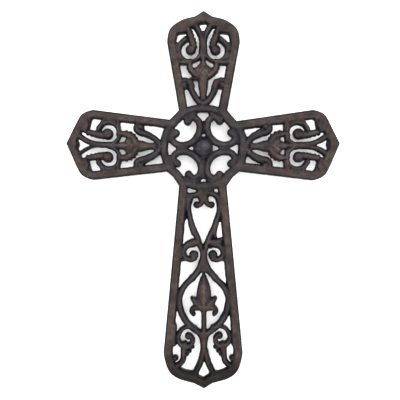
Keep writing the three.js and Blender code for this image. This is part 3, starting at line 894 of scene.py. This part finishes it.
# Uneven edges and face as (amount, size, seed). The outer edge is less ragged than the openings, and
# a grid point nearer to an edge than the least depth counts as outside
RAGGED_EDGE = [(0.22, 5.0, 1), (0.15, 2.2, 2)]
UNEVEN_FACE = [(0.10, 9.0, 3), (0.06, 3.5, 4)]
OUTER_RAGGED = 0.4
LEAST_DEPTH = 0.08

# What the colour reads: how far a place lies below its surroundings, for the patina's dark ground, and how
# far it is from an edge, for painted shade near the edges
HOLLOW_BLUR = 12
HOLLOW_DEPTH = 1.4
ROUNDING_DEPTH = 2.4

# Colour of the walls: black in the openings, the patina's dark ground and painted shade on their sides,
# brown as on the face round the outside
WALL_HOLLOW = 0.6
OUTER_REACH = 2.0
OUTER_RELIEF = 6.8
OUTER_ROUNDING = 0.7
SHARP_ANGLE = 50


def surface_fields(casting):
    """Depth inside the iron with its ragged edges, and the layers that the mesh's points carry."""
    ragged = waves(RAGGED_EDGE)
    depth = np.minimum(casting.depth + PLUMP + ragged, casting.inside - OUTER_RAGGED * np.abs(ragged))
    depth = np.where(np.abs(depth) < LEAST_DEPTH, -LEAST_DEPTH, depth)
    height = casting.height + waves(UNEVEN_FACE)
    hollow = np.clip((blurred(casting.height, HOLLOW_BLUR) - casting.height) / HOLLOW_DEPTH, -1.0, 1.0)
    # Nearness to an edge, which the material turns into painted shade on the steep sides
    rounding = fade(depth, 0.0, ROUNDING_DEPTH)
    return depth, [GRID_X, GRID_Z, height, hollow, rounding, coolness(casting), wear_and_painted_light(casting.inside),
                   casting.inside]


def cross_piece():
    """The casting's mesh: the relief in front, upright walls in rows, and a flat back."""
    depth, layers = surface_fields(cast_cross())
    (x, z, y, dip, rise, chill, rub_and_painted_light, reach), faces, rim = front_mesh(depth, layers)
    y = np.minimum(y, FULL_HEIGHT)
    edge = np.unique(rim)
    number = np.full(len(x), -1)
    number[edge] = np.arange(len(edge))
    rim = number[rim]
    rows = [edge] + [len(x) + row * len(edge) + np.arange(len(edge)) for row in range(WALL_ROWS)]
    fraction = 1.0 - np.arange(1, WALL_ROWS + 1) / WALL_ROWS
    above = np.tile(edge, WALL_ROWS)
    wall_y = (fraction[:, None] * y[edge]).ravel()
    back = rows[-1][flat_faces(np.stack([x[edge], z[edge]], axis=1), rim)]
    corners = np.vstack([np.stack([x, -y, z], axis=1), np.stack([x[above], -wall_y, z[above]], axis=1)])
    all_faces = np.vstack([faces, wall_faces(rows, rim), back[:, ::-1]])
    mesh = bpy.data.meshes.new("wall_cross_iron")
    mesh.from_pydata((corners * MM).tolist(), [], all_faces.tolist())
    mesh.shade_smooth()
    mesh.set_sharp_from_angle(angle=np.radians(SHARP_ANGLE))
    outer = np.clip(OUTER_REACH - reach[above], 0.0, 1.0)
    # Layers of the patina and of the painted light: edge nearness gives painted shade, the wear layer
    # painted highlights and shade
    patina_and_painted_light = {
        "relief": np.concatenate([y, np.maximum(wall_y, OUTER_RELIEF * outer)]) / BAND["crest"],
        "hollow": np.concatenate([dip, WALL_HOLLOW * (1.0 - outer)]),
        "rounding": np.concatenate([rise, OUTER_ROUNDING * outer]),
        "coolness": np.concatenate([chill, chill[above]]),
        "wear_and_painted_light": np.concatenate([rub_and_painted_light, rub_and_painted_light[above]]),
    }
    for name, values in patina_and_painted_light.items():
        mesh.attributes.new(name, "FLOAT", "POINT").data.foreach_set("value", values.astype(np.float32))
    behind = (np.arange(len(all_faces)) >= len(all_faces) - len(back)).astype(np.float32)
    mesh.attributes.new("behind", "FLOAT", "FACE").data.foreach_set("value", behind)
    piece = bpy.data.objects.new("wall_cross_iron", mesh)
    bpy.context.collection.objects.link(piece)
    return piece


# Patina colours, with the black also used for painted shade near edges, and the painted crest highlight's
# colour, from dark to light where there are two
HOLLOW_BLACK = ((0.0015, 0.0015, 0.0028), (0.0054, 0.0051, 0.0080))
WARM_BROWN = ((0.0105, 0.0062, 0.0047), (0.0350, 0.0238, 0.0192))
COOL_GREY = ((0.0068, 0.0060, 0.0075), (0.0208, 0.0182, 0.0210))
PLAIN_BACK = ((0.0260, 0.0205, 0.0180), (0.0620, 0.0500, 0.0440))
RUST = (0.0270, 0.0130, 0.0098)
# Painted highlight on the proud crests
CREST_HIGHLIGHT_COLOUR = (0.0440, 0.0368, 0.0335)

# Patches of the patina and of the painted crest highlight: the scale and detail of their noise, and the
# range of it that they fade over
BLACK_PATCHES = (60, 4)
WARM_PATCHES = ((170, 6), (0.3, 0.7))
COOL_PATCHES = ((150, 6), (0.3, 0.7))
BACK_PATCHES = ((110, 6), (0.3, 0.7))
WORN_PATCHES = ((75, 6), (0.3, 0.62, 0.5, 1))
RUST_PATCHES = ((95, 3), (0.52, 0.68))
CHILLED_PATCHES = ((48, 4), (0.36, 0.66, 0.5, 1.3))
COLD_PATCHES = ((28, 4), (0.45, 0.7, 0, 0.25))
CREST_HIGHLIGHT_PATCHES = ((120, 5), (0.35, 0.65, 0.05, 0.5))
SHEEN_PATCHES = ((200, 4), (0.3, 0.7, 0.42, 0.60))
GRAIN = (900, 6, 0.65)

# The face is brown where it is high, open and away from an edge: black in the hollows is the patina's dark
# ground, black near an edge is painted shade on the steep sides, and where the face stands proud it takes a
# painted highlight
HIGH_FACE = (0.62, 0.92)
OPEN_FACE = (0.38, -0.05)
AWAY_FROM_EDGE = (0.15, 1.0)
PROUD_FACE = (0.0, -0.45)
# How strongly the wear layer, with its painted highlights and painted shade, lightens or darkens the face
WEAR_AND_PAINTED_LIGHT_STRENGTH = 0.88
GLOSS = 0.11
GRAIN_STRENGTH = 0.35
GRAIN_HEIGHT = 0.0006


def iron_material():
    """Brown-black patina with painted light: warm brown rubbed on the high faces, bluish where the forms
    are cool, black in the hollows as the patina's dark ground and near the edges and on the openings' walls
    as painted shade, a painted highlight on the proud crests, the fleur and the boss, painted shade on the
    foot, a plainer grey-brown back, and a fine sand-cast grain."""
    material = bpy.data.materials.new("cast_iron_patina_and_painted_light")
    material.use_nodes = True
    nodes, links = material.node_tree.nodes, material.node_tree.links
    shader = nodes["Principled BSDF"]
    place = nodes.new("ShaderNodeTexCoord").outputs["Object"]

    # A new node with its settings, its sockets fed with values or links, and the output asked for
    def node(kind, sockets, output, **settings):
        made = nodes.new("ShaderNode" + kind)
        for name, value in settings.items():
            setattr(made, name, value)
        for name, value in sockets.items():
            if isinstance(value, bpy.types.NodeSocket):
                links.new(value, made.inputs[name])
            else:
                made.inputs[name].default_value = value + (1.0,) if isinstance(value, tuple) else value
        return made.outputs[output]

    def attribute(name):
        return node("Attribute", {}, "Fac", attribute_name=name)

    def noise(scale, detail, roughness=0.55):
        sockets = {"Vector": place, "Scale": scale, "Detail": detail, "Roughness": roughness}
        return node("TexNoise", sockets, "Fac")

    def ramp(value, low, high, out_low=0.0, out_high=1.0):
        sockets = {"Value": value, "From Min": low, "From Max": high, "To Min": out_low, "To Max": out_high}
        return node("MapRange", sockets, "Result", interpolation_type="SMOOTHSTEP")

    def patches(kind):
        return ramp(noise(*kind[0]), *kind[1])

    def mix(factor, a, b):
        return node("Mix", {"Factor": factor, "A": a, "B": b}, "Result", data_type="RGBA")

    def math(operation, *values):
        return node("Math", dict(enumerate(values)), 0, operation=operation)

    hollow = attribute("hollow")
    # Brown shows where the face is high, open and away from an edge: the hollows keep the patina's dark
    # ground, and the black near an edge is painted shade on the steep sides
    top = math("MULTIPLY", ramp(attribute("relief"), *HIGH_FACE), ramp(hollow, *OPEN_FACE))
    top = math("MULTIPLY", top, ramp(attribute("rounding"), *AWAY_FROM_EDGE))
    worn_and_unshaded = math("MULTIPLY", top, patches(WORN_PATCHES))
    black = mix(noise(*BLACK_PATCHES), *HOLLOW_BLACK)
    rusty = mix(patches(RUST_PATCHES), mix(patches(WARM_PATCHES), *WARM_BROWN), RUST)
    cool = mix(patches(COOL_PATCHES), *COOL_GREY)
    chilled = math("MULTIPLY", attribute("coolness"), patches(CHILLED_PATCHES))
    cold = math("ADD", chilled, patches(COLD_PATCHES))
    # Painted highlight: lighter colour on the crests where the face stands proud
    painted_crest_highlight = math("MULTIPLY", ramp(hollow, *PROUD_FACE), patches(CREST_HIGHLIGHT_PATCHES))
    brown = mix(painted_crest_highlight, mix(ramp(cold, 0.0, 1.0), rusty, cool), CREST_HIGHLIGHT_COLOUR)
    # The wear layer lightens or darkens the colour: lighter tulips and band, darker curls and brackets, a
    # painted highlight on the fleur and the boss, and painted shade on the foot
    strength = math("MULTIPLY_ADD", attribute("wear_and_painted_light"), WEAR_AND_PAINTED_LIGHT_STRENGTH, 1.0)
    face = node("VectorMath", {0: mix(worn_and_unshaded, black, brown), "Scale": strength}, "Vector", operation="SCALE")
    plain = mix(patches(BACK_PATCHES), *PLAIN_BACK)
    grain = {"Strength": GRAIN_STRENGTH, "Distance": GRAIN_HEIGHT, "Height": noise(*GRAIN)}
    links.new(mix(attribute("behind"), face, plain), shader.inputs["Base Color"])
    links.new(patches(SHEEN_PATCHES), shader.inputs["Roughness"])
    links.new(node("Bump", grain, "Normal"), shader.inputs["Normal"])
    shader.inputs["Metallic"].default_value = 0.0
    shader.inputs["Specular IOR Level"].default_value = GLOSS
    return material


# Stage in metres: a pale floor below, a pale wall close behind, and soft lights as name, place, size
# and power
STAGE_REACH = 3
WALL_GAP = 0.018
FLOOR_Z = -0.30
FLOOR_COLOUR = (0.86, 0.86, 0.85)
WALL_COLOUR = (0.93, 0.93, 0.93)
PAINT_ROUGHNESS = 0.9
LIGHTS = [
    ("key", (-0.8, -1.7, 1.3), 1.3, 54.0),
    ("fill", (1.2, -1.6, 0.4), 1.5, 28.0),
    ("behind", (0.9, 1.8, 1.0), 1.5, 24.0),
    ("front", (0.0, -2.2, 0.1), 1.0, 37.0),
]
ROOM_COLOUR = (0.95, 0.96, 1.0, 1.0)
ROOM_GLOW = 0.7

# Camera: the side of the square picture at the face of the cross, its centre, and the distance to it
FRAME_SIDE = 0.3960
PICTURE_CENTRE = (-0.0031, 0, -0.0525)
CAMERA_DISTANCE = 0.6
SENSOR = 36.0


def pale_material(name, colour, one_sided=False):
    """Matt pale paint; a one-sided one is clear when seen from behind."""
    material = bpy.data.materials.new(name)
    material.use_nodes = True
    nodes, links = material.node_tree.nodes, material.node_tree.links
    shader = nodes["Principled BSDF"]
    shader.inputs["Base Color"].default_value = colour + (1.0,)
    shader.inputs["Roughness"].default_value = PAINT_ROUGHNESS
    if one_sided:
        clear = nodes.new("ShaderNodeBsdfTransparent")
        choose = nodes.new("ShaderNodeMixShader")
        links.new(nodes.new("ShaderNodeNewGeometry").outputs["Backfacing"], choose.inputs["Fac"])
        links.new(shader.outputs["BSDF"], choose.inputs[1])
        links.new(clear.outputs["BSDF"], choose.inputs[2])
        links.new(choose.outputs["Shader"], nodes["Material Output"].inputs["Surface"])
    return material


def sheet(name, corners, material):
    """A flat four-cornered stage piece."""
    mesh = bpy.data.meshes.new(name)
    mesh.from_pydata(corners, [], [(0, 1, 2, 3)])
    mesh.materials.append(material)
    item = bpy.data.objects.new(name, mesh)
    bpy.context.collection.objects.link(item)
    return item


def area_light(name, place, size, power):
    """Soft square light turned to the middle of the picture."""
    lamp = bpy.data.lights.new(name, "AREA")
    lamp.size = size
    lamp.energy = power
    item = bpy.data.objects.new(name, lamp)
    item.location = place
    item.rotation_euler = (Vector(PICTURE_CENTRE) - Vector(place)).to_track_quat("-Z", "Y").to_euler()
    bpy.context.collection.objects.link(item)


def stage():
    """Floor, wall, lights, surroundings and the camera straight in front, as in the photograph."""
    near, far = -STAGE_REACH, STAGE_REACH
    sheet("floor", [(near, near, FLOOR_Z), (far, near, FLOOR_Z), (far, far, FLOOR_Z), (near, far, FLOOR_Z)],
          pale_material("pale_floor", FLOOR_COLOUR))
    wall = sheet("wall", [(near, WALL_GAP, FLOOR_Z), (far, WALL_GAP, FLOOR_Z), (far, WALL_GAP, far),
                          (near, WALL_GAP, far)],
                 pale_material("pale_wall", WALL_COLOUR, one_sided=True))
    # The wall only backs the picture: it takes the cross's shadow, but stops no light and throws none back
    wall.visible_diffuse = False
    wall.visible_glossy = False
    wall.visible_shadow = False
    for name, place, size, power in LIGHTS:
        area_light(name, place, size, power)
    world = bpy.data.worlds.new("studio")
    world.use_nodes = True
    background = world.node_tree.nodes["Background"]
    background.inputs["Color"].default_value = ROOM_COLOUR
    background.inputs["Strength"].default_value = ROOM_GLOW
    scene = bpy.context.scene
    scene.world = world
    scene.view_settings.view_transform = "Standard"
    lens = bpy.data.cameras.new("camera")
    lens.sensor_width = SENSOR
    lens.lens = SENSOR * CAMERA_DISTANCE / FRAME_SIDE
    camera = bpy.data.objects.new("camera", lens)
    camera.location = (PICTURE_CENTRE[0], CAD_LOW[1] - CAMERA_DISTANCE, PICTURE_CENTRE[2])
    camera.rotation_euler = (np.pi / 2, 0, 0)
    bpy.context.collection.objects.link(camera)
    scene.camera = camera


cross = cross_piece()
cross.data.materials.append(iron_material())
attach(cross, "root")
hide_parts("wall_cross")
stage()
